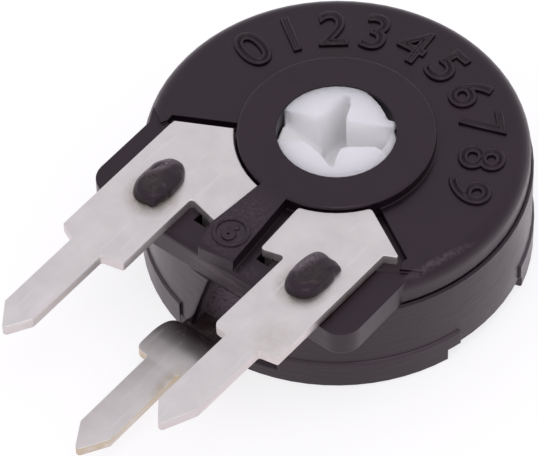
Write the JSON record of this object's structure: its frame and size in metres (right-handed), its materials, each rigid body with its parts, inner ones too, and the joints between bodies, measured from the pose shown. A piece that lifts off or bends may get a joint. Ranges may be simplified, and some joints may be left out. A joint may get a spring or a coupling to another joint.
{
  "type": "trimmer potentiometer",
  "caption": "Round trimmer potentiometer that is set with a screwdriver in its front face, with flat solder pins along one side.",
  "frame": {"origin": "on the rotor's axis, in the plane of the foot ring that the body stands on", "axes": "+Z along the rotor's axis out of the front face, -Y along the solder pins, +X to the right seen from the front"},
  "size_m": [0.0102, 0.0156, 0.0043],
  "materials": {
    "black_moulding": "semi-matt moulded thermoplastic",
    "white_rotor": "smooth white moulding",
    "spring_brass": "plain spring strip",
    "element_laminate": "printed carbon on laminate",
    "tinned_sheet": "satin tin plate on sheet brass"
  },
  "bodies": {
    "body": {"housing": "black_moulding", "cover": "black_moulding", "resistive_element": "element_laminate", "end_terminal_left": "tinned_sheet", "end_terminal_right": "tinned_sheet", "wiper_terminal": "tinned_sheet"},
    "rotor": {"rotor": "white_rotor", "wiper_spring": "spring_brass"}
  },
  "joints": [
    {"name": "rotor_turn", "type": "hinge", "parent": "body", "child": "rotor", "pos_m": [0, 0, 0], "axis": [0, 0, 1], "range_deg": [-117.5, 117.5]}
  ]
}
